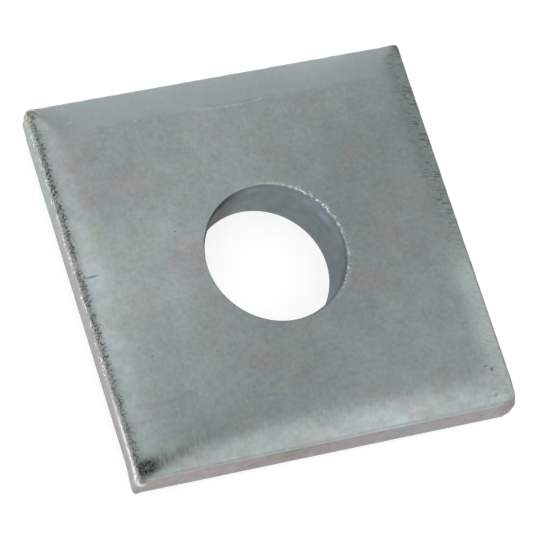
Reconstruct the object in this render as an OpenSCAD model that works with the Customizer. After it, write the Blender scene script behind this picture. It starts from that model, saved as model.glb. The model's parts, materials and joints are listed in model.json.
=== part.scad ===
// Square plate washer: one thick steel plate, blanked from strip, with a punched round hole.
// Millimetres. +Z is up, the plate lies flat, and the origin is on the underside at the hole's axis.
// The front of the plate is -Y and its left is -X.

/* [Plate] */
// Length of each side of the square
side = 40; // [34:0.5:60]
// Thickness between the two flat faces
thickness = 6; // [5:0.5:10]

/* [Hole] */
// Diameter of the punched hole, a free fit on a 12 mm bolt
hole_d = 14; // [9:0.5:18]
// Distance by which the punch drew the hole wider at the top face, all round
mouth_w = 0.35; // [0.1:0.05:0.6]
// Depth to which the hole is drawn wider
mouth_h = 1.2; // [0.8:0.1:2]
// Rounding of the hole's rim on the underside
rim_bottom_r = 0.15; // [0.1:0.05:0.8]

/* [Blanked edges] */
// Distance from the wall at which the top face starts to roll down
roll_w = 4; // [2:0.25:5]
// Drop of the rolled face where it would meet the wall
roll_depth = 1; // [0.4:0.1:1.4]
// Rounding of the arris between the rolled face and the wall
arris_r = 0.6; // [0.3:0.1:0.7]
// Distance by which the slanting break below each wall goes in under the plate
break_in = 1.1; // [0.3:0.1:1.5]
// Height of the break on the left side
left_break_h = 2; // [0.8:0.1:3]
// Height of the break at the middle of the front side
front_break_h = 1.6; // [0.8:0.1:3]
// How much higher the front side's break is at its left end than at its right end
front_break_rise = 0.4; // [0:0.1:0.8]
// Height of the break on the right side
right_break_h = 2; // [0.8:0.1:3]
// Height of the break on the back side
back_break_h = 2.8; // [0.8:0.1:3]

/* [Corners] */
// Radius of the front left corner, seen from above
front_left_r = 0.5; // [0.4:0.1:3]
// Radius of the front right corner, the most worn one
front_right_r = 0.9; // [0.4:0.1:3]
// Radius of the back right corner
back_right_r = 0.5; // [0.4:0.1:3]
// Radius of the back left corner
back_left_r = 0.5; // [0.4:0.1:3]

/* [Hidden] */
$fn = 96;
half = side / 2;
hole_r = hole_d / 2;
// Cutters run past the faces by this much, so that no two faces only just touch
past = 1;
// The rolled face is an arc that leaves the top face at a tangent and falls by roll_depth over roll_w
roll_r = (pow(roll_w, 2) + pow(roll_depth, 2)) / (2 * roll_depth);
roll_centre = [half - roll_w, thickness - roll_r];
// The arris is an arc inside the roll's arc that also touches the wall
arris_lift = sqrt(pow(roll_r - arris_r, 2) - pow(roll_w - arris_r, 2));
arris_centre = [half - arris_r, roll_centre[1] + arris_lift];
// Direction from the roll's centre through the arris's centre, where the two arcs meet
meeting = (arris_centre - roll_centre) / (roll_r - arris_r);
// The mouth is an arc that leaves the hole's wall at a tangent
mouth_r = (pow(mouth_h, 2) + pow(mouth_w, 2)) / (2 * mouth_w);
// Each side as its turn about the hole's axis, from the right one, the height of its break and the break's lean
sides = [
    [0, right_break_h, 0],
    [90, back_break_h, 0],
    [180, left_break_h, 0],
    [270, front_break_h, -atan(front_break_rise / side)]
];
// Each corner as its turn about the hole's axis, from the back right one, and its radius
corners = [
    [0, back_right_r],
    [90, back_left_r],
    [180, front_left_r],
    [270, front_right_r]
];

// The part of the section under the rolled face, out to where the arris begins
module roll_sector() {
    beyond = roll_r + past;
    intersection() {
        translate(roll_centre) circle(roll_r);
        polygon([
            [roll_centre[0], arris_centre[1]],
            arris_centre,
            roll_centre + beyond * meeting,
            roll_centre + [0, beyond]
        ]);
    }
}

// Section through one edge, from the middle of the plate to the wall: X is outwards and Y is up
module edge_section() {
    square([half - roll_w, thickness]);
    square([half, arris_centre[1]]);
    translate(arris_centre) circle(arris_r);
    roll_sector();
}

// The plate's section from wall to wall, drawn out to a bar that runs along Y
module bar() {
    rotate([90, 0, 0])
        linear_extrude(side + 2 * past, center = true) {
            edge_section();
            mirror([1, 0]) edge_section();
        }
}

// What a round corner takes off: a square post, less the edge's section turned about the corner's centre
module corner_cut(radius) {
    difference() {
        translate([0, 0, -past]) cube([radius + past, radius + past, thickness + 2 * past]);
        rotate_extrude()
            intersection() {
                translate([radius - half, 0]) edge_section();
                square([radius, thickness]);
            }
    }
}

// The slant that the metal leaves where it broke away, as a wedge along the right side
module break_cut(height, lean) {
    translate([half, 0, height])
        rotate([lean, 0, 0])
            rotate([90, 0, 0])
                linear_extrude(side + 2 * past, center = true)
                    polygon([
                        [break_in, height],
                        [-2 * break_in, -2 * height],
                        [break_in, -2 * height]
                    ]);
}

// The mouth that the punch drew in, widening upwards from the hole's wall
module mouth() {
    difference() {
        square([hole_r + 2 * mouth_w, mouth_h + past]);
        translate([hole_r + mouth_r, 0]) circle(mouth_r);
    }
}

// A quarter-round flare at a rim of the hole, widening upwards from the wall
module rim_flare(radius) {
    difference() {
        square([hole_r + radius, radius + past]);
        translate([hole_r + radius, 0]) circle(radius);
    }
}

// The punched hole, with its mouth at the top and a rounded rim below
module hole() {
    rotate_extrude() {
        translate([0, -past]) square([hole_r, thickness + 2 * past]);
        translate([0, thickness - mouth_h]) mouth();
        translate([0, rim_bottom_r]) mirror([0, 1]) rim_flare(rim_bottom_r);
    }
}

// The whole washer
module plate_washer() {
    color([0.56, 0.6, 0.59])
        difference() {
            intersection() {
                bar();
                rotate(90) bar();
            }
            for (corner = corners)
                rotate(corner[0])
                    translate([half - corner[1], half - corner[1], 0])
                        corner_cut(corner[1]);
            for (edge = sides)
                rotate(edge[0])
                    break_cut(edge[1], edge[2]);
            hole();
        }
}

plate_washer();
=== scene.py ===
"""A square plate washer in bright zinc, lying on a pale floor.

The scene is in metres, with +Z up and the hole's axis at the origin. The plate's sizes are in millimetres.
"""

import json
import math

import bpy
import numpy as np
from mathutils import Matrix, Vector


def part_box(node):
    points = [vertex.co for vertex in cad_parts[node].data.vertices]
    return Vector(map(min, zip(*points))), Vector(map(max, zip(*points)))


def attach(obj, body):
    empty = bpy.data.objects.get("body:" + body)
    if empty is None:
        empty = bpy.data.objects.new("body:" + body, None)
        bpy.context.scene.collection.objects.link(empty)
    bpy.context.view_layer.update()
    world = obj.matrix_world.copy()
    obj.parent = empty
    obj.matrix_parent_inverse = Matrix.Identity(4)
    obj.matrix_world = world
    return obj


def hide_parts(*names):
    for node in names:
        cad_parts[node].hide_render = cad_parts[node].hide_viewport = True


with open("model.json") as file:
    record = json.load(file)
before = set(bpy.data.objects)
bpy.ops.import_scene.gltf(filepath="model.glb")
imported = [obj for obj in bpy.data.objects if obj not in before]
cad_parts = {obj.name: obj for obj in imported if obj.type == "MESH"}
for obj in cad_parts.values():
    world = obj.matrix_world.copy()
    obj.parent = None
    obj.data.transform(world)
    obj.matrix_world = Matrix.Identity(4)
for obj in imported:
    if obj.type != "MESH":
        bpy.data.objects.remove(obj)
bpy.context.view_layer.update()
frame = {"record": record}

MM = 0.001
NODE = "plate_washer"

# Sizes of the plate in millimetres, from the frame where it holds them
LOW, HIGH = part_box(NODE)
HALF = (HIGH[0] - LOW[0]) / 2 / MM
THICK = (HIGH[2] - LOW[2]) / MM
MOUNTS = {mount["name"]: mount for mount in frame["record"]["mounts"]}
HOLE_R = MOUNTS["bolt_hole"]["dims"]["r_mm"]
MOUTH_W = 0.35
MOUTH_H = 1.2
RIM_TOP_R = 0.08
RIM_BOTTOM_R = 0.15
ROLL_W = 4.0
ROLL_DEPTH = 1.0
ARRIS_R = 0.6
BREAK_IN = 1.1
LEFT_BREAK_H = 2.0
FRONT_BREAK_H = 1.6
FRONT_BREAK_RISE = 0.4
RIGHT_BREAK_H = 2.0
BACK_BREAK_H = 2.8
# Corner radii in the order front right, back right, back left, front left
CORNER_R = np.array([0.9, 0.5, 0.5, 0.5])
CORNER_SIGN = np.array([[1, -1], [1, 1], [-1, 1], [-1, -1]], float)
# Width over which the two rolled faces of each corner blend, in the same order
MITRE_SOFT = np.array([2.5, 1.0, 2.0, 1.0])

# How far each corner is worn in, or pushed out by a burr: at the arris, in the middle and at the wall's foot
CORNER_TOP = np.array([-0.17, 0.05, 0.31, 0.0])
CORNER_MIDDLE = np.array([0.22, 0.0, 0.03, 0.2])
CORNER_FOOT = np.array([0.0, -0.1, -0.15, 0.32])
# Height from which the wear of the middle passes into that of the arris, and over which height it does
CORNER_HIGH = np.array([3.6, 3.6, 2.9, 3.6])
CORNER_BLEND = 1.1
# Heights between which the wear begins, and between which that of the foot passes into that of the middle
CORNER_START = (0.8, 1.6)
CORNER_LOW = (1.6, 2.6)
# How far from its tip the wear of a corner reaches
CORNER_REACH = 1.5

# Depths of the fine relief
WAVE_DEPTH = 0.012
GRAIN_DEPTH = 0.015
LEFT_GRAIN_DEPTH = 0.035
RIM_DEPTH = 0.03
SHEAR_DEPTH = 0.012
TORN_DEPTH = 0.06

# The rolled face is an arc that leaves the top at a tangent, and the arris an arc inside it
ROLL_R = (ROLL_W**2 + ROLL_DEPTH**2) / (2 * ROLL_DEPTH)
ARRIS_LIFT = math.sqrt((ROLL_R - ARRIS_R) ** 2 - (ROLL_W - ARRIS_R) ** 2)
ARRIS_Z = THICK - ROLL_R + ARRIS_LIFT
ARRIS_TURN = math.atan2(ARRIS_LIFT, ROLL_W - ARRIS_R)
ARRIS_IN = ARRIS_R * (1 - math.cos(ARRIS_TURN))
# The hole's mouth is an arc that leaves its wall at a tangent
MOUTH_R = (MOUTH_H**2 + MOUTH_W**2) / (2 * MOUTH_W)
TOP_R = HOLE_R + MOUTH_W
# Where the smooth band along the back edge ends, measured from its wall; a painted highlight makes that band
# paler
BACK_BAND = (3.3, 3.75)

# Points along each straight side and round each corner
SIDE_STEPS = 184
CORNER_STEPS = 15
# Points up each part of the section
LOWER_RIM_STEPS = 5
HOLE_STEPS = 10
MOUTH_STEPS = 9
UPPER_RIM_STEPS = 6
ARRIS_STEPS = 9
WALL_STEPS = 11
SEED = 11


# Surface of the washer

def fade(value, start, end):
    """0 before start and 1 after end, with a smooth step between."""
    t = np.clip((value - start) / (end - start), 0, 1)
    return t * t * (3 - 2 * t)


def hump(value, centre, reach):
    """A soft hump: 1 at its centre, and nearly 0 at twice its reach."""
    return np.exp(-(((value - centre) / reach) ** 2))


def spot(x, y, centre, reach):
    """A soft round or oval spot: a hump along X times a hump along Y."""
    return hump(x, centre[0], reach[0]) * hump(y, centre[1], reach[1])


def lumps(points, cell, seed):
    """Smooth noise from -1 to 1: random heights on a lattice of that cell, blended between eight corners."""
    size = 64
    heights = np.random.default_rng(SEED + seed).uniform(-1, 1, (size, size, size))
    place = points / np.asarray(cell, float) + size
    low = np.floor(place).astype(int)
    t = place - low
    t = t * t * (3 - 2 * t)
    total = 0
    for corner in np.ndindex(2, 2, 2):
        share = np.prod(np.where(corner, t, 1 - t), axis=-1)
        cells = (low + corner) % size
        total = total + share * heights[cells[..., 0], cells[..., 1], cells[..., 2]]
    return total


def round_path():
    """Where each step of the outline lies: its two corners, its turn and its share of the way between."""
    arc = np.linspace(0, math.pi / 2, CORNER_STEPS)
    along = np.linspace(0, 1, SIDE_STEPS + 2)[1:-1]
    first, second, turn, share = [], [], [], []
    for corner in range(4):
        start = (corner - 1) * math.pi / 2
        first += [np.full(CORNER_STEPS, corner), np.full(SIDE_STEPS, corner)]
        second += [np.full(CORNER_STEPS, corner), np.full(SIDE_STEPS, (corner + 1) % 4)]
        turn += [start + arc, np.full(SIDE_STEPS, start + math.pi / 2)]
        share += [np.zeros(CORNER_STEPS), along]
    return [np.concatenate(part) for part in (first, second, turn, share)]


FIRST, SECOND, TURN, SHARE = round_path()


def outline(inset):
    """The plate's outline drawn in by inset: arcs of the corner radii less the inset, and straight lines."""
    smallest = 0.05
    radius = np.maximum(CORNER_R - inset, smallest)
    centre = CORNER_SIGN * (HALF - inset - radius)[:, None]
    ray = np.stack([np.cos(TURN), np.sin(TURN)], axis=1)
    start = centre[FIRST] + radius[FIRST, None] * ray
    end = centre[SECOND] + radius[SECOND, None] * ray
    return start + SHARE[:, None] * (end - start)


def nearest_corner(plan):
    """Number of the corner whose quarter of the plate a point lies in."""
    left = np.where(plan[..., 1] > 0, 2, 3)
    right = np.where(plan[..., 1] > 0, 1, 0)
    return np.where(plan[..., 0] > 0, right, left)


def wall_distance(plan):
    """Distance from a point on the face to the nearest wall, with the mitre between two walls softened."""
    away = HALF - np.abs(plan)
    nearest = nearest_corner(plan)
    radius = CORNER_R[nearest]
    past = np.maximum(radius[..., None] - away, 0)
    corner = radius - np.hypot(past[..., 0], past[..., 1])
    distance = np.where(past.min(axis=-1) > 0, corner, away.min(axis=-1))
    soft = MITRE_SOFT[nearest]
    gap = np.abs(away[..., 0] - away[..., 1])
    dip = np.maximum(soft - gap, 0) ** 2 / (4 * soft)
    return distance - dip * fade(distance, 0.4, 2.5)


def roll_drop(distance):
    """How far the rolled face lies below the flat one: the roll's arc inside its width, nothing beyond."""
    reach = np.clip(ROLL_W - distance, 0, ROLL_W)
    return ROLL_R - np.sqrt(ROLL_R**2 - reach**2)


def break_height(plan):
    """Height of the breaks over a point: the highest of four planes that each fall inwards from a side."""
    x, y = plan[..., 0], plan[..., 1]
    front_top = FRONT_BREAK_H - FRONT_BREAK_RISE * x / (2 * HALF)
    planes = [
        RIGHT_BREAK_H * (1 - (HALF - x) / BREAK_IN),
        BACK_BREAK_H * (1 - (HALF - y) / BREAK_IN),
        LEFT_BREAK_H * (1 - (HALF + x) / BREAK_IN),
        front_top - FRONT_BREAK_H * (HALF + y) / BREAK_IN,
    ]
    return np.maximum(np.max(planes, axis=0), 0)


def ring(plan, height):
    """One closed ring of points from its plan and its height."""
    return np.column_stack([plan, np.broadcast_to(height, len(plan))])


def hole_rings(bearing):
    """Up the hole: its lower rim, its wall, the drawn-in mouth and the fine rounding of its upper rim."""
    rings = []
    for turn in np.linspace(0, math.pi / 2, LOWER_RIM_STEPS):
        radius = HOLE_R + RIM_BOTTOM_R * (1 - math.sin(turn))
        rings.append(ring(bearing * radius, RIM_BOTTOM_R * (1 - math.cos(turn))))
    for height in np.linspace(RIM_BOTTOM_R, THICK - MOUTH_H, HOLE_STEPS)[1:-1]:
        rings.append(ring(bearing * HOLE_R, height))
    for rise in np.linspace(0, MOUTH_H - RIM_TOP_R, MOUTH_STEPS):
        radius = HOLE_R + MOUTH_R - math.sqrt(MOUTH_R**2 - rise**2)
        rings.append(ring(bearing * radius, THICK - MOUTH_H + rise))
    below = radius
    beyond = TOP_R + RIM_TOP_R
    for share in np.linspace(0, 1, UPPER_RIM_STEPS)[1:]:
        radius = (1 - share) ** 2 * below + 2 * share * (1 - share) * TOP_R + share**2 * beyond
        rings.append(ring(bearing * radius, THICK - RIM_TOP_R * (1 - share) ** 2))
    return rings


def face_rings(bearing):
    """Out over the face from the hole's rim, down the rolled edge and round the arris to the wall."""
    rings = []
    inner = bearing * (TOP_R + RIM_TOP_R)
    outer = outline(ARRIS_IN)
    close = 0.005
    rim_end = 0.1
    roll_start = 0.6
    near_rim = np.linspace(0, rim_end, 5)[1:]
    middle = np.linspace(rim_end, roll_start, 15)[1:]
    over_roll = np.linspace(roll_start, 1, 23)[1:-1]
    for step in np.concatenate([[close], near_rim, middle, over_roll]):
        plan = inner + step * (outer - inner)
        rings.append(ring(plan, THICK - roll_drop(wall_distance(plan))))
    for turn in np.linspace(ARRIS_TURN, 0, ARRIS_STEPS):
        plan = outline(ARRIS_R * (1 - math.cos(turn)))
        rings.append(ring(plan, ARRIS_Z + ARRIS_R * math.sin(turn)))
    return rings


def lower_rings(bearing):
    """Down the wall, in along the slanting break and back under the plate, with close rings at each edge."""
    rings = []
    wall = outline(0)
    foot = break_height(wall)
    for share in [*np.linspace(0, 0.98, WALL_STEPS)[1:], 1]:
        rings.append(ring(wall, ARRIS_Z + share * (foot - ARRIS_Z)))
    deepest = 1.14
    for share in [0.03, *np.linspace(0.12, 0.97, 6), 1, deepest]:
        plan = outline(BREAK_IN * share)
        rings.append(ring(plan, break_height(plan)))
    inner = bearing * (HOLE_R + RIM_BOTTOM_R)
    for step in [0.01, *np.linspace(0.08, 0.94, 8)]:
        rings.append(ring(plan + step * (inner - plan), 0))
    return rings


def washer_rings():
    """The whole section as rings, from the hole's lower rim round to the underside."""
    bearing = outline(0)
    bearing = bearing / np.linalg.norm(bearing, axis=1)[:, None]
    return np.array(hole_rings(bearing) + face_rings(bearing) + lower_rings(bearing))


def outward(grid):
    """The outward direction at each point of a grid that closes on itself both ways."""
    across = np.roll(grid, -1, axis=0) - np.roll(grid, 1, axis=0)
    along = np.roll(grid, -1, axis=1) - np.roll(grid, 1, axis=1)
    normal = np.cross(across, along)
    least = 1e-9
    return normal / np.maximum(np.linalg.norm(normal, axis=2, keepdims=True), least)


def surface_zones(grid):
    """Parts of the surface and its four sides, as shares from 0 to 1, and the distance inside the wall."""
    x, y, z = np.moveaxis(grid, -1, 0)
    plan = grid[..., :2]
    from_axis = np.hypot(x, y)
    up = outward(grid)[..., 2]
    inside = wall_distance(plan)
    above_break = fade(z - break_height(plan), 0.02, 0.1)
    near_hole = 1 - fade(from_axis, TOP_R + RIM_TOP_R, TOP_R + 0.3)
    near_rim = 1 - fade(from_axis, TOP_R + RIM_TOP_R, TOP_R + 0.15)
    below_face = fade(THICK - z, RIM_TOP_R / 2, RIM_TOP_R * 1.5)
    outer = 1 - near_hole
    zones = {
        "inside": inside,
        "hole": near_hole * below_face * fade(z, 0.02, 0.1),
        "rim": near_rim * fade(z, THICK - 0.25, THICK - RIM_TOP_R),
        "wall": outer * fade(1 - np.abs(up), 0.3, 0.5) * above_break,
        "break": outer * (1 - above_break) * (1 - fade(-up, 0.93, 0.99)),
        "top": outer * fade(up, 0.3, 0.8),
        "arris": outer * fade(z, ARRIS_Z - 0.7, ARRIS_Z + 0.3) * (1 - fade(inside, 0.2, 1.0)),
    }
    blur = np.where(x * y < 0, 3.0, 1.2)
    beyond = {"left": -x - np.abs(y), "right": x - np.abs(y), "front": -y - np.abs(x), "back": y - np.abs(x)}
    for side, distance in beyond.items():
        zones[side] = fade(distance, -blur, blur / 4)
    return zones


def strip(zones, side, start, end):
    """The strip along a side of the plate, which fades out between two distances from the wall."""
    return zones[side] * (1 - fade(zones["inside"], start, end))


def painted_face_shading(x, y, zones):
    """Painted light and shade over the face: lighter at the left, darker towards the front right, with
    painted highlights and shade in bands along the edges.
    """
    across = (x - y) / math.sqrt(2)
    sheen = 1.1 - 0.33 * fade(across, -13, 5) + 0.1 * fade(across, 9, 20)
    sheen = sheen * (1 - 0.13 * fade(y, 3, 10) * (1 - fade(x, 4, 12)))
    right_change = 0.36 * fade(-y, 1, 7) - 0.12 * fade(y, -1, 5)
    # Painted highlights and shade in bands along each edge
    bands = [
        ("right", (1.6, 3.6), right_change),
        ("right", (0.1, 0.35), -0.3),
        ("left", (2.6, 3.8), -0.12),
        ("front", (0.3, 0.8), 0.14),
        ("back", (0.1, 0.5), -0.2),
        ("back", BACK_BAND, 0.11),
    ]
    for side, ends, change in bands:
        sheen = sheen * (1 + change * strip(zones, side, *ends))
    return sheen


def face_masks(grid, zones):
    """The face: its painted light and shade, and in its finish the strokes of its rolled edges and the dark
    trail at the front.
    """
    x, y, z = np.moveaxis(grid, -1, 0)
    top = zones["top"]
    on_face = (1 - zones["hole"]) * fade(z, ARRIS_Z, ARRIS_Z + 0.2)
    trail_y = -18.6 + 1.4 * fade(x, -18.5, -11.5)
    trail = 0.55 * fade(-x, 4, 15) + 0.45 * fade(-x, 13, 18)
    more_at_back = 0.2 + 0.8 * fade(y, -5, 3)
    return {
        # Painted light and shade, kept to the face above the arris
        "sheen": 1 + on_face * (painted_face_shading(x, y, zones) - 1),
        "top": top,
        "trail": 0.95 * top * trail * hump(y, trail_y, reach=0.75),
        "dull_front": top * fade(-x, 5, 14) * hump(y, trail_y + 0.7, reach=1.5),
        "back_roll": top * strip(zones, "back", *BACK_BAND),
        "front_roll": top * zones["front"],
        "right_strokes": top * strip(zones, "right", 0.9, 3.0) * more_at_back,
    }


def edge_masks(grid, zones):
    """The finish of the edges, with painted glints below the left arris and painted shade along the right
    edge: the left arris, the worn tips, the walls and the torn break.
    """
    x, y, z = np.moveaxis(grid, -1, 0)
    top, wall, left = zones["top"], zones["wall"], zones["left"]
    back_left_tip = spot(x, y, centre=(-HALF, HALF), reach=(1.1, 1.1))
    back_right_tip = spot(x, y, centre=(19.75, 19.6), reach=(0.5, 0.6))
    front_left_tip = spot(x, y, centre=(-HALF, -HALF), reach=(0.5, 0.5))
    front_right_tip = spot(x, y, centre=(HALF, -HALF), reach=(0.7, 0.7))
    front_tips = np.maximum(front_left_tip, front_right_tip)
    soot = np.minimum(1.9 * spot(x, y, centre=(-19.4, -18.8), reach=(1.2, 0.65)), 1)
    uneven = 0.8 + 0.24 * lumps(grid, 0.9, seed=7) + 0.12 * lumps(grid, 3.5, seed=9)
    patches = top * np.maximum(soot, 0.6 * back_left_tip)
    low_arris = fade(z, ARRIS_Z - 1.2, ARRIS_Z - 0.7) * (1 - fade(z, ARRIS_Z - 0.3, ARRIS_Z + 0.1))
    lowest = 1 - fade(z, ARRIS_Z - 0.5, ARRIS_Z - 0.2)
    # Painted shade along the right edge, where the arris turns down
    right_edge = strip(zones, "right", 0.2, 0.45) * fade(z, ARRIS_Z - 0.6, ARRIS_Z)
    return {
        # The left arris's dark band: partly rough grain, partly painted dark reflection
        "grain": np.maximum(zones["arris"] * left * uneven, patches),
        "soot": top * soot,
        "rough_tip": (top + wall) * fade(z, 2.5, 3.5) * back_left_tip,
        # Painted glints just below the left arris
        "glint": low_arris * np.maximum(left, back_left_tip) * (1 - zones["hole"]),
        "bright_glint": low_arris * left * fade(-y, 8, 16) * lowest,
        "right_line": (top + wall) * right_edge,
        "brown_tip": front_tips * (1 - zones["break"]) * fade(z, ARRIS_Z - 0.8, ARRIS_Z - 0.2),
        "dark_tip": top * back_right_tip,
        "front_wall": wall * zones["front"] * (1 - fade(z, ARRIS_Z, ARRIS_Z + 0.5)),
        "side_wall": wall * (1 - zones["front"]),
        "torn": zones["break"],
    }


def hole_masks(grid, zones):
    """The hole: its dull wall; its paler mouth and blue gleam, which are painted reflections; painted shade;
    its stain; and painted sparks of light on its rim.
    """
    x, y, z = np.moveaxis(grid, -1, 0)
    hole = zones["hole"]
    bearing = np.degrees(np.arctan2(y, x))
    # Painted sparks of light on the hole's rim
    at_rim = hump(np.hypot(x, y), TOP_R + RIM_TOP_R, reach=0.2) * fade(z, THICK - 0.5, THICK - 0.1)
    back_sparks = hump(bearing, centre=36, reach=32)
    right_sparks = hump(bearing, centre=-25, reach=25)
    return {
        "hole_wall": hole,
        "mouth": hole * fade(z, THICK - 1.3, THICK - 0.5),
        "blue_mouth": hole * fade(z, THICK - 1.8, THICK - 0.6) * hump(bearing, centre=30, reach=25),
        "hole_shade": hole * fade(-bearing, -15, 35) * (1 - fade(-bearing, 90, 120)),
        "hole_stain": hole * fade(bearing, 92, 122) * (1 - fade(bearing, 165, 178)),
        "rim_glint": at_rim * np.maximum(back_sparks, 0.5 * right_sparks),
    }


def corner_wear(grid):
    """How far the corners are worn in or pushed out from arris to foot, at the left on that wall only."""
    x, y, z = np.moveaxis(grid, -1, 0)
    nearest = nearest_corner(grid)
    high = fade(z, CORNER_HIGH[nearest], CORNER_HIGH[nearest] + CORNER_BLEND)
    low = 1 - fade(z, *CORNER_LOW)
    wear = CORNER_TOP[nearest] * high + CORNER_MIDDLE[nearest] * (1 - high - low) + CORNER_FOOT[nearest] * low
    uneven = 1 + 0.3 * lumps(grid, 0.4, seed=8)
    wear = wear * uneven * fade(z, *CORNER_START)
    blur = 0.8
    on_left_wall = fade(-x - np.abs(y), -blur, blur)
    from_tip = np.hypot(HALF - np.abs(x), HALF - np.abs(y))
    return wear * np.where(x < 0, on_left_wall, 1) * hump(from_tip, 0, CORNER_REACH)


def relief(grid, zones):
    """Height of the fine relief: waves, rough arris and rim, shear marks, torn metal and worn corners."""
    x, y, z = np.moveaxis(grid, -1, 0)
    waves = lumps(grid, 5.0, seed=1) * WAVE_DEPTH * zones["top"]
    grain_depth = GRAIN_DEPTH + LEFT_GRAIN_DEPTH * zones["left"]
    grain = lumps(grid, 0.5, seed=2) * grain_depth * zones["arris"]
    nibble = lumps(grid, 0.9, seed=3) * RIM_DEPTH * zones["rim"]
    along_wall = np.where(zones["left"] + zones["right"] > 0.5, y, x)
    upright = np.stack([along_wall, z, np.zeros_like(z)], axis=-1)
    shear = lumps(upright, (0.5, 3.0, 1.0), seed=4) * SHEAR_DEPTH * zones["wall"]
    from_wall = HALF - np.maximum(np.abs(x), np.abs(y))
    ragged = lumps(grid, 0.9, seed=5) + 0.5 * lumps(grid, 0.45, seed=6)
    torn = ragged * TORN_DEPTH * zones["break"] * fade(from_wall, 0.15, 0.6)
    return waves + grain + nibble + shear + torn + corner_wear(grid)


def grid_mesh(name, grid):
    """A closed mesh of four-sided faces over a grid whose rows and columns both join up at their ends."""
    rows, columns = grid.shape[:2]
    index = np.arange(rows * columns).reshape(rows, columns)
    below = np.roll(index, -1, 0)
    faces = np.stack([index, below, np.roll(below, -1, 1), np.roll(index, -1, 1)], axis=-1)
    mesh = bpy.data.meshes.new(name)
    mesh.from_pydata((grid.reshape(-1, 3) * MM).tolist(), [], faces.reshape(-1, 4).tolist())
    mesh.polygons.foreach_set("use_smooth", np.ones(rows * columns, bool))
    mesh.update()
    return mesh


def make_washer():
    """The washer as one closed surface, with its fine relief and the zones of its finish."""
    grid = washer_rings()
    zones = surface_zones(grid)
    masks = {**face_masks(grid, zones), **edge_masks(grid, zones), **hole_masks(grid, zones)}
    grid = grid + outward(grid) * relief(grid, zones)[..., None]
    grid[..., 2] = np.clip(grid[..., 2], 0, THICK)
    mesh = grid_mesh("washer_body", grid)
    for name, values in masks.items():
        layer = mesh.attributes.new(name, "FLOAT", "POINT")
        layer.data.foreach_set("value", values.reshape(-1).astype(np.float32))
    washer = bpy.data.objects.new("washer", mesh)
    bpy.context.scene.collection.objects.link(washer)
    return washer


# Finish of the washer, and the light, shade and reflections painted into it

class Finish:
    """A material under construction: adds nodes and joins them, with sizes in millimetres of the object."""

    def __init__(self, name):
        self.material = bpy.data.materials.new(name)
        self.material.use_nodes = True
        self.tree = self.material.node_tree
        self.tree.nodes.clear()
        output = self.add("ShaderNodeOutputMaterial")
        self.shader = self.add("ShaderNodeBsdfPrincipled")
        self.join(self.shader.outputs[0], output.inputs[0])
        scaled = self.add("ShaderNodeVectorMath", operation="SCALE")
        scaled.inputs["Scale"].default_value = 1 / MM
        self.join(self.add("ShaderNodeTexCoord").outputs["Object"], scaled.inputs[0])
        self.place = scaled.outputs[0]
        self.parts = self.add("ShaderNodeSeparateXYZ")
        self.join(self.place, self.parts.inputs[0])
        flat = self.add("ShaderNodeVectorMath", operation="MULTIPLY")
        flat.inputs[1].default_value = (1, 1, 0)
        self.join(self.place, flat.inputs[0])
        self.plan = flat.outputs[0]

    def add(self, kind, **settings):
        """A new node of that kind with its settings."""
        node = self.tree.nodes.new(kind)
        for name, value in settings.items():
            setattr(node, name, value)
        return node

    def join(self, source, target):
        """A link from an output to an input."""
        self.tree.links.new(source, target)

    def put(self, socket, value):
        """Feeds a socket from another socket or with a plain value."""
        if isinstance(value, bpy.types.NodeSocket):
            self.join(value, socket)
        else:
            socket.default_value = value

    def axis(self, name):
        """A coordinate of the object."""
        return self.parts.outputs[name]

    def mask(self, name):
        """A zone that the mesh carries."""
        return self.add("ShaderNodeAttribute", attribute_name=name).outputs["Fac"]

    def noise(self, cell, shift=0.0, detail=2.0, stretch=(1, 1, 1)):
        """Noise with features of about that size, moved by shift, and longer where stretch is above 1."""
        mapping = self.add("ShaderNodeMapping")
        mapping.inputs["Location"].default_value = (shift, shift * 0.7, shift * 1.3)
        mapping.inputs["Scale"].default_value = [1 / (cell * along) for along in stretch]
        self.join(self.place, mapping.inputs["Vector"])
        node = self.add("ShaderNodeTexNoise")
        node.inputs["Scale"].default_value = 1.0
        node.inputs["Detail"].default_value = detail
        self.join(mapping.outputs[0], node.inputs["Vector"])
        return node.outputs["Fac"]

    def range(self, value, start, end, low=0.0, high=1.0):
        """A smooth step from low at start to high at end."""
        node = self.add("ShaderNodeMapRange", interpolation_type="SMOOTHSTEP")
        self.put(node.inputs["Value"], value)
        for name, number in (("From Min", start), ("From Max", end), ("To Min", low), ("To Max", high)):
            node.inputs[name].default_value = number
        return node.outputs[0]

    def maths(self, operation, a, b=0.0):
        """The result of an operation on one or two values."""
        node = self.add("ShaderNodeMath", operation=operation)
        self.put(node.inputs[0], a)
        self.put(node.inputs[1], b)
        return node.outputs[0]

    def times(self, *values):
        """The product of several values."""
        total = values[0]
        for value in values[1:]:
            total = self.maths("MULTIPLY", total, value)
        return total

    def reach(self, centre):
        """Distance in plan from a point."""
        node = self.add("ShaderNodeVectorMath", operation="DISTANCE")
        self.join(self.plan, node.inputs[0])
        node.inputs[1].default_value = (*centre, 0)
        return node.outputs["Value"]

    def mix(self, share, a, b, blend="MIX"):
        """Colour a with that share of colour b over it."""
        node = self.add("ShaderNodeMix", data_type="RGBA", blend_type=blend)
        self.put(node.inputs["Factor"], share)
        self.put(node.inputs["A"], a)
        self.put(node.inputs["B"], b)
        return node.outputs["Result"]

    def bump(self, height, depth, normal=None):
        """Relief of that depth."""
        node = self.add("ShaderNodeBump")
        node.inputs["Strength"].default_value = 1.0
        node.inputs["Distance"].default_value = depth * MM
        self.join(height, node.inputs["Height"])
        if normal is not None:
            self.join(normal, node.inputs["Normal"])
        return node.outputs[0]


def colour(r, g, b):
    """An opaque colour from its linear parts."""
    return (r, g, b, 1.0)


def grey(level):
    """A grey of that level."""
    return colour(level, level, level)


BRIGHT_METAL = colour(0.72, 0.76, 0.75)


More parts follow.
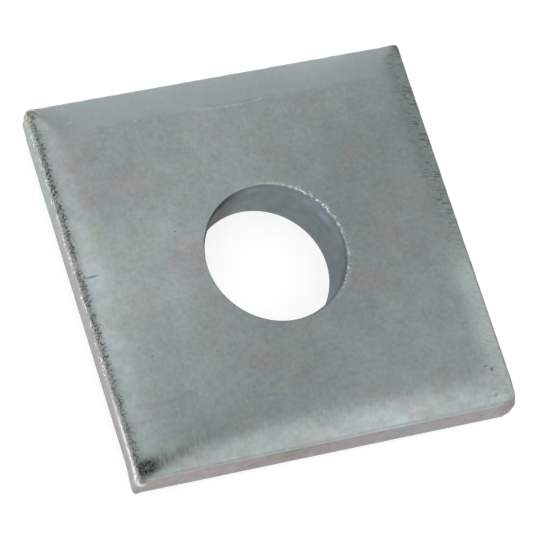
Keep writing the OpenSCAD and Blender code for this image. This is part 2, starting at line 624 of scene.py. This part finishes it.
def cloudy_zinc(f):
    """Grey zinc in soft clouds, with faint olive, rose and blue tints and a fine speckle, times the painted
    light and shade over the face.
    """
    dull = colour(0.41, 0.47, 0.467)
    pale = colour(0.465, 0.522, 0.52)
    olive = colour(0.445, 0.475, 0.415)
    rose = colour(0.485, 0.462, 0.462)
    blue = colour(0.405, 0.475, 0.51)
    dark_olive = colour(0.35, 0.4, 0.35)
    smooth_grey = colour(0.435, 0.49, 0.496)
    base = f.mix(f.range(f.noise(7.0), 0.3, 0.7), dull, pale)
    for shift, tint in ((31.0, olive), (57.0, rose), (73.0, blue)):
        base = f.mix(f.range(f.noise(4.5, shift), 0.5, 0.75, 0.0, 0.7), base, tint)
    mottle = f.times(f.range(f.noise(1.1, 27.0), 0.56, 0.7, 0.0, 0.35), f.mask("top"))
    base = f.mix(mottle, base, dark_olive)
    even = f.times(f.mask("back_roll"), 0.65)
    base = f.mix(even, base, smooth_grey)
    speckle = f.range(f.noise(0.45, 19.0, detail=3.0), 0.25, 0.75, 0.935, 1.065)
    patches = f.range(f.noise(2.2, 23.0), 0.3, 0.7, 0.965, 1.035)
    uneven = f.mix(even, f.times(speckle, patches), grey(1.0))
    base = f.mix(1.0, base, uneven, "MULTIPLY")
    # Painted light and shade over the face, multiplied into the colour
    return f.mix(1.0, base, f.mask("sheen"), "MULTIPLY")


def roll_strokes(f, base):
    """Short strokes where the metal was stretched: a painted highlight on the roll at the front, its edge
    ragged with strokes, and dark marks at the right.
    """
    hazy = colour(0.25, 0.29, 0.26)
    dark = colour(0.145, 0.165, 0.145)
    dull = colour(0.27, 0.31, 0.285)
    smeared = colour(0.12, 0.14, 0.125)
    strokes = f.noise(0.17, 7.0, stretch=(1, 8, 8))
    front_gap = f.maths("ADD", f.axis("Y"), HALF)
    narrow = f.range(f.axis("X"), -HALF, -5.0, 2.0, 0.0)
    ragged = f.maths("ADD", f.maths("ADD", front_gap, narrow), f.times(strokes, 3.0))
    less_right = f.range(f.axis("X"), 6.0, 16.0, 1.0, 0.4)
    # Painted highlight on the front roll, its inner edge broken by the strokes
    painted_front_highlight = f.times(f.mask("front_roll"), f.range(ragged, 3.0, 4.8, 1.0, 0.0), less_right)
    base = f.mix(painted_front_highlight, base, f.mix(1.0, base, grey(1.2), "MULTIPLY"))
    haze = f.range(f.noise(0.3, 89.0, stretch=(4, 1, 4)), 0.35, 0.65, 0.0, 0.5)
    base = f.mix(f.times(f.mask("right_strokes"), haze), base, hazy)
    lines = f.range(f.noise(0.16, 13.0, detail=3.0, stretch=(6, 1, 6)), 0.5, 0.64)
    groups = f.range(f.noise(0.6, 17.0, detail=3.0, stretch=(2, 1, 2)), 0.3, 0.55)
    base = f.mix(f.times(f.mask("right_strokes"), f.times(lines, groups)), base, dark)
    base = f.mix(f.times(f.mask("dull_front"), 0.3), base, dull)
    smear = f.times(f.mask("trail"), f.range(strokes, 0.35, 0.65, 1.0, 0.55))
    return f.mix(smear, base, smeared)


def front_film(f):
    """The coloured film on the front wall, which runs from rose through olive to lilac along the side."""
    stops = {
        0.0: colour(0.296, 0.254, 0.242),
        0.2: colour(0.288, 0.226, 0.229),
        0.3: colour(0.19, 0.17, 0.12),
        0.36: colour(0.2, 0.178, 0.145),
        0.48: colour(0.268, 0.2, 0.214),
        0.8: colour(0.25, 0.238, 0.245),
        1.0: colour(0.285, 0.237, 0.242),
    }
    wander = f.times(f.noise(4.0, 83.0), 10.0)
    film = f.add("ShaderNodeValToRGB")
    elements = film.color_ramp.elements
    for place in list(stops)[2:]:
        elements.new(place)
    for element, (place, tint) in zip(elements, stops.items()):
        element.position = place
        element.color = tint
    f.join(f.range(f.maths("ADD", f.axis("X"), wander), -15.0, 25.0), film.inputs[0])
    return film.outputs[0]


def wall_tints(f, base):
    """The front wall's film, greyer towards its foot, and the paler side walls."""
    foot_grey = colour(0.25, 0.245, 0.265)
    side_front = colour(0.365, 0.35, 0.347)
    side_back = colour(0.36, 0.4, 0.385)
    film = f.mix(f.range(f.axis("Z"), 2.0, 3.4, 0.6, 0.0), front_film(f), foot_grey)
    base = f.mix(f.mask("front_wall"), base, film)
    wander = f.times(f.noise(2.0, 37.0), 16.0)
    toward_back = f.range(f.maths("ADD", f.axis("Y"), wander), 2.0, 18.0)
    return f.mix(f.mask("side_wall"), base, f.mix(toward_back, side_front, side_back))


def hole_tints(f, base):
    """The hole's wall, dull and darker than the face, partly as painted shade, with a paler mouth and a blue
    gleam that are painted reflections, painted shade and a brown stain.
    """
    dull = colour(0.205, 0.248, 0.25)
    pale = colour(0.225, 0.275, 0.285)
    mouth = colour(0.325, 0.38, 0.395)
    blue = colour(0.36, 0.43, 0.52)
    shade = colour(0.09, 0.11, 0.12)
    stain = colour(0.06, 0.05, 0.04)
    # Darker than the face: a duller wall, and partly painted shade
    hole = f.mix(f.range(f.noise(3.0, 12.0), 0.3, 0.7), dull, pale)
    # The paler mouth is a painted reflection
    hole = f.mix(f.mask("mouth"), hole, mouth)
    # The blue gleam is a painted reflection
    painted_gleam = f.range(f.noise(1.0, 95.0, stretch=(1, 1, 2)), 0.35, 0.65, 0.2, 0.9)
    hole = f.mix(f.times(f.mask("blue_mouth"), painted_gleam), hole, blue)
    hole = f.mix(f.times(f.mask("hole_shade"), 0.5), hole, shade)
    hole = f.mix(f.times(f.mask("hole_stain"), 0.9), hole, stain)
    return f.mix(f.mask("hole_wall"), base, hole)


def left_arris(f, base):
    """Dark band along the left arris, partly rough grain and partly painted dark reflection, soot at its
    front end, and rust and painted bright glints just below it.
    """
    dark_tip = colour(0.06, 0.068, 0.06)
    grain_grey = colour(0.22, 0.24, 0.225)
    dark_speck = colour(0.075, 0.085, 0.075)
    pale_speck = colour(0.26, 0.275, 0.255)
    black = colour(0.018, 0.022, 0.019)
    ash = colour(0.13, 0.145, 0.13)
    brown = colour(0.3, 0.25, 0.19)
    gleaming = colour(0.92, 0.94, 0.94)
    base = f.mix(f.times(f.mask("dark_tip"), 0.95), base, dark_tip)
    # The dark band of the arris: partly rough grain, partly painted dark reflection
    base = f.mix(f.times(f.mask("grain"), 0.35), base, grain_grey)
    specks = f.range(f.noise(0.2, 5.0, detail=3.0, stretch=(1.6, 1, 1)), 0.25, 0.75)
    dark = f.range(f.maths("ADD", f.mask("grain"), specks), 1.0, 1.5)
    shades = f.range(f.noise(0.22, 47.0), 0.35, 0.65)
    base = f.mix(dark, base, f.mix(shades, dark_speck, pale_speck))
    soot = f.times(f.mask("soot"), f.range(f.noise(0.5, 41.0, detail=3.0), 0.3, 0.6, 0.75, 1.0))
    sooty = f.range(f.noise(0.26, 87.0, detail=3.0), 0.36, 0.66)
    base = f.mix(soot, base, f.mix(sooty, black, ash))
    rust = f.range(f.noise(0.4, 71.0), 0.54, 0.64, 0.0, 0.6)
    base = f.mix(f.times(f.mask("glint"), rust), base, brown)
    # Painted glints below the left arris: bright flecks and a streak
    clusters = f.range(f.noise(1.3, 33.0), 0.4, 0.55, 0.25, 1.0)
    flecks = f.times(f.range(f.noise(0.3, 67.0), 0.52, 0.63), clusters)
    streak = f.times(f.mask("bright_glint"), f.range(f.noise(0.5, 39.0), 0.35, 0.55, 0.35, 1.0))
    return f.mix(f.maths("MAXIMUM", f.times(f.mask("glint"), flecks), streak), base, gleaming)


def other_edges(f, base):
    """The crumbly back left tip, painted sparks of light on the hole's rim, painted shade along the right
    edge, brown tips and the break.
    """
    dark_crumb = colour(0.17, 0.15, 0.115)
    pale_crumb = colour(0.78, 0.76, 0.7)
    painted_edge_shade = colour(0.17, 0.165, 0.14)
    tip_brown = colour(0.2, 0.16, 0.1)
    dark_torn = colour(0.25, 0.26, 0.255)
    pale_torn = colour(0.42, 0.44, 0.43)
    crumbs = f.range(f.noise(0.28, 77.0, detail=3.0), 0.35, 0.65)
    base = f.mix(f.times(f.mask("rough_tip"), 0.8), base, f.mix(crumbs, dark_crumb, pale_crumb))
    # Painted sparks of light on the hole's rim
    groups = f.range(f.noise(1.5, 49.0, detail=1.0), 0.35, 0.5, 0.5, 1.0)
    sparks = f.times(f.range(f.noise(0.26, 29.0), 0.5, 0.6), groups)
    base = f.mix(f.times(f.mask("rim_glint"), sparks), base, grey(0.95))
    # Painted shade along the right edge
    line = f.times(f.mask("right_line"), f.range(f.noise(0.6, 53.0), 0.3, 0.7, 0.5, 1.0))
    base = f.mix(line, base, painted_edge_shade)
    base = f.mix(f.times(f.mask("brown_tip"), 0.75), base, tip_brown)
    torn = f.mix(f.noise(0.8, 91.0, detail=3.0), dark_torn, pale_torn)
    return f.mix(f.mask("torn"), base, torn)


# Marks on the face in millimetres: place along X and Y, length, width, and turn in degrees
NICKS = [
    (9.7, 17.6, 0.4, 0.35, 0), (10.1, 17.9, 0.3, 0.2, 30), (-9.9, 16.35, 0.45, 0.35, 0),
    (-16.1, 17.75, 0.3, 0.25, 0), (-2.1, -7.95, 0.35, 0.25, 20), (-12.2, 6.7, 0.3, 0.2, -10),
    (-10.4, -9.3, 0.3, 0.2, 0), (7.8, -1.45, 0.3, 0.2, 60), (7.6, -4.4, 0.35, 0.25, 0),
    (7.0, -6.4, 0.3, 0.2, 0), (-12.0, -12.8, 0.5, 0.2, 20), (-7.6, -14.5, 0.7, 0.15, -50),
    (-5.1, -14.7, 1.0, 0.15, -10), (-16.3, -14.8, 0.8, 0.13, -10), (-12.7, -14.1, 0.4, 0.2, 60),
    (-14.7, -13.8, 0.4, 0.2, -10), (1.2, 15.4, 0.7, 0.2, -20), (-8.2, 17.7, 0.5, 0.15, 75),
    (-14.2, 17.9, 0.35, 0.15, 75), (-16.4, 17.4, 0.9, 0.25, 15), (-12.6, 16.4, 1.4, 0.15, -10),
    (-9.3, 10.6, 0.3, 0.2, 0), (3.3, -9.5, 0.35, 0.2, 40), (8.1, 3.6, 0.3, 0.2, 20),
]
DARK_SCRATCHES = [
    (-18.85, 1.27, 1.9, 0.34, -2), (17.95, -16.3, 0.7, 0.55, -20), (17.4, -15.9, 0.7, 0.25, 10),
    (-9.4, 4.1, 0.35, 0.25, 0), (-16.5, -7.0, 0.3, 0.2, 0), (-15.5, -8.1, 0.25, 0.2, 0),
]
OLIVE_DIRT = [(17.0, -19.0, 0.9, 0.7, 0), (17.6, -18.9, 1.2, 0.5, 30)]
OLIVE_STAINS = [(13.9, -10.6, 4.0, 2.4, 70), (12.9, -15.3, 2.0, 3.2, 0), (12.0, -13.3, 2.6, 2.2, 40)]
ROSE_STAINS = [(15.6, -19.0, 1.8, 0.7, -10), (7.7, -18.6, 0.5, 0.4, 0), (16.3, -18.1, 3.5, 1.8, 0)]
# The long curved scratch near the back edge: the centre and radius of its arc, and where it ends along X
SCRATCH_CENTRE = (0.3, 45.5)
SCRATCH_R = 29.35
SCRATCH_ENDS = (-3.6, 3.9)


def marks(f, places):
    """Soft oval marks on the face: 1 in the middle of each oval, and 0 from its edge on."""
    share = 0.0
    for x, y, length, width, turn in places:
        oval = f.add("ShaderNodeMapping", vector_type="TEXTURE")
        oval.inputs["Location"].default_value = (x, y, 0)
        oval.inputs["Rotation"].default_value = (0, 0, math.radians(turn))
        oval.inputs["Scale"].default_value = (length / 2, width / 2, 1)
        f.join(f.plan, oval.inputs["Vector"])
        away = f.add("ShaderNodeVectorMath", operation="LENGTH")
        f.join(oval.outputs[0], away.inputs[0])
        share = f.maths("MAXIMUM", share, f.range(away.outputs["Value"], 0.1, 1.0, 1.0, 0.0))
    return f.times(share, f.mask("top"))


def small_marks(f, base):
    """Coloured stains, dark scratches, nicks that show bright metal, and the long curved scratch."""
    rose = colour(0.42, 0.35, 0.33)
    olive = colour(0.25, 0.26, 0.17)
    dirt = colour(0.22, 0.22, 0.12)
    dark = colour(0.13, 0.14, 0.115)
    blots = f.range(f.noise(0.6, 63.0, detail=3.0), 0.35, 0.65, 0.1, 1.0)
    base = f.mix(f.times(marks(f, ROSE_STAINS), blots, 0.3), base, rose)
    base = f.mix(f.times(marks(f, OLIVE_STAINS), blots, 0.28), base, olive)
    base = f.mix(f.times(marks(f, OLIVE_DIRT), blots, 0.65), base, dirt)
    base = f.mix(f.times(marks(f, DARK_SCRATCHES), 0.75), base, dark)
    base = f.mix(f.times(marks(f, NICKS), 0.42), base, BRIGHT_METAL)
    off_line = f.maths("ABSOLUTE", f.maths("SUBTRACT", f.reach(SCRATCH_CENTRE), SCRATCH_R))
    start, end = SCRATCH_ENDS
    blur = 0.5
    begun = f.range(f.axis("X"), start - blur, start + blur)
    unfinished = f.range(f.axis("X"), end - blur, end + blur, 1.0, 0.0)
    scratch = f.times(f.range(off_line, 0.03, 0.13, 1.0, 0.0), begun, unfinished, f.mask("top"))
    faint = f.range(f.noise(1.5, 61.0), 0.3, 0.7, 0.15, 0.4)
    return f.mix(f.times(scratch, faint), base, BRIGHT_METAL)


def make_zinc():
    """Bright zinc over steel: soft clouds, stretched edges, coloured walls and the wear of handling, with
    painted light and shade, glints and reflections in its colour.
    """
    f = Finish("bright_zinc")
    base = cloudy_zinc(f)
    for layer in (roll_strokes, wall_tints, hole_tints, left_arris, other_edges, small_marks):
        base = layer(f, base)
    f.join(base, f.shader.inputs["Base Color"])
    rough = f.range(f.noise(1.2, 21.0, detail=3.0), 0.3, 0.7, 0.32, 0.42)
    rougher = f.maths("MAXIMUM", f.times(f.mask("torn"), 0.15), f.times(f.mask("hole_wall"), 0.2))
    f.join(f.maths("ADD", rough, rougher), f.shader.inputs["Roughness"])
    f.shader.inputs["Metallic"].default_value = 1.0
    normal = f.bump(f.noise(0.35, 44.0, detail=3.0), 0.005)
    normal = f.bump(f.times(f.noise(0.25, 5.0), f.mask("grain")), 0.08, normal)
    lines = f.noise(0.16, 13.0, detail=3.0, stretch=(3.5, 1, 3.5))
    normal = f.bump(f.times(lines, f.mask("right_strokes")), 0.015, normal)
    f.join(normal, f.shader.inputs["Normal"])
    return f.material


# Stage, light and camera

def make_floor():
    """A pale floor, a hair below the washer: white to the camera and in the metal, with a soft shadow."""
    reach = 3.0
    level = -0.02 * MM
    corners = [(x * reach, y * reach, level) for x, y in ((-1, -1), (1, -1), (1, 1), (-1, 1))]
    mesh = bpy.data.meshes.new("floor")
    mesh.from_pydata(corners, [], [(0, 1, 2, 3)])
    floor = bpy.data.objects.new("floor", mesh)
    bpy.context.scene.collection.objects.link(floor)
    material = bpy.data.materials.new("pale_floor")
    material.use_nodes = True
    tree = material.node_tree
    tree.nodes.clear()
    output = tree.nodes.new("ShaderNodeOutputMaterial")
    both = tree.nodes.new("ShaderNodeAddShader")
    matt = tree.nodes.new("ShaderNodeBsdfDiffuse")
    matt.inputs["Color"].default_value = grey(0.5)
    glow = tree.nodes.new("ShaderNodeEmission")
    glow.inputs["Color"].default_value = grey(0.74)
    path = tree.nodes.new("ShaderNodeLightPath")
    seen = path.outputs["Is Camera Ray"]
    for ray in ("Is Glossy Ray", "Is Transmission Ray"):
        either = tree.nodes.new("ShaderNodeMath")
        either.operation = "MAXIMUM"
        tree.links.new(seen, either.inputs[0])
        tree.links.new(path.outputs[ray], either.inputs[1])
        seen = either.outputs[0]
    tree.links.new(seen, glow.inputs["Strength"])
    tree.links.new(matt.outputs[0], both.inputs[0])
    tree.links.new(glow.outputs[0], both.inputs[1])
    tree.links.new(both.outputs[0], output.inputs[0])
    mesh.materials.append(material)


def make_world():
    """An even pale surrounding, a little darker high up than at the horizon."""
    world = bpy.data.worlds.new("studio")
    bpy.context.scene.world = world
    world.use_nodes = True
    tree = world.node_tree
    back = tree.nodes["Background"]
    place = tree.nodes.new("ShaderNodeTexCoord")
    split = tree.nodes.new("ShaderNodeSeparateXYZ")
    ramp = tree.nodes.new("ShaderNodeValToRGB")
    horizon, high = ramp.color_ramp.elements
    horizon.position = 0.0
    horizon.color = colour(0.78, 0.8, 0.8)
    high.position = 0.8
    high.color = colour(0.6, 0.61, 0.61)
    tree.links.new(place.outputs["Generated"], split.inputs[0])
    tree.links.new(split.outputs["Z"], ramp.inputs[0])
    tree.links.new(ramp.outputs[0], back.inputs["Color"])
    back.inputs["Strength"].default_value = 1.0


def make_strip_light(name, place, length, width, bearing, power):
    """A long soft light that hangs level over the washer, with its length along a bearing."""
    data = bpy.data.lights.new(name, "AREA")
    data.shape = "RECTANGLE"
    data.size = length
    data.size_y = width
    data.energy = power
    light = bpy.data.objects.new(name, data)
    light.location = place
    light.rotation_euler = (0, 0, math.radians(bearing))
    bpy.context.scene.collection.objects.link(light)


def make_camera():
    """The photograph's view: a long lens, high over the front left corner, and rolled."""
    azimuth = math.radians(-136.78)
    elevation = math.radians(62.43)
    roll = math.radians(32.24)
    distance = 0.4123
    aim = Vector((0.00004, -0.00057, 0.00276))
    level = math.cos(elevation)
    back = Vector((level * math.cos(azimuth), level * math.sin(azimuth), math.sin(elevation)))
    data = bpy.data.cameras.new("camera")
    data.lens = 277.46
    data.sensor_width = 36
    data.clip_start = 0.01
    camera = bpy.data.objects.new("camera", data)
    turn = (-back).to_track_quat("-Z", "Y").to_matrix() @ Matrix.Rotation(roll, 3, "Z")
    camera.matrix_world = Matrix.Translation(aim + back * distance) @ turn.to_4x4()
    bpy.context.scene.collection.objects.link(camera)
    bpy.context.scene.camera = camera


bpy.context.scene.view_settings.view_transform = "Standard"
washer = make_washer()
washer.data.materials.append(make_zinc())
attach(washer, "root")
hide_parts(NODE)
make_floor()
make_world()
STRIP_PLACE = (-0.03, -0.03, 0.45)
make_strip_light("strip_light", STRIP_PLACE, length=0.85, width=0.25, bearing=-45, power=0.38)
make_camera()
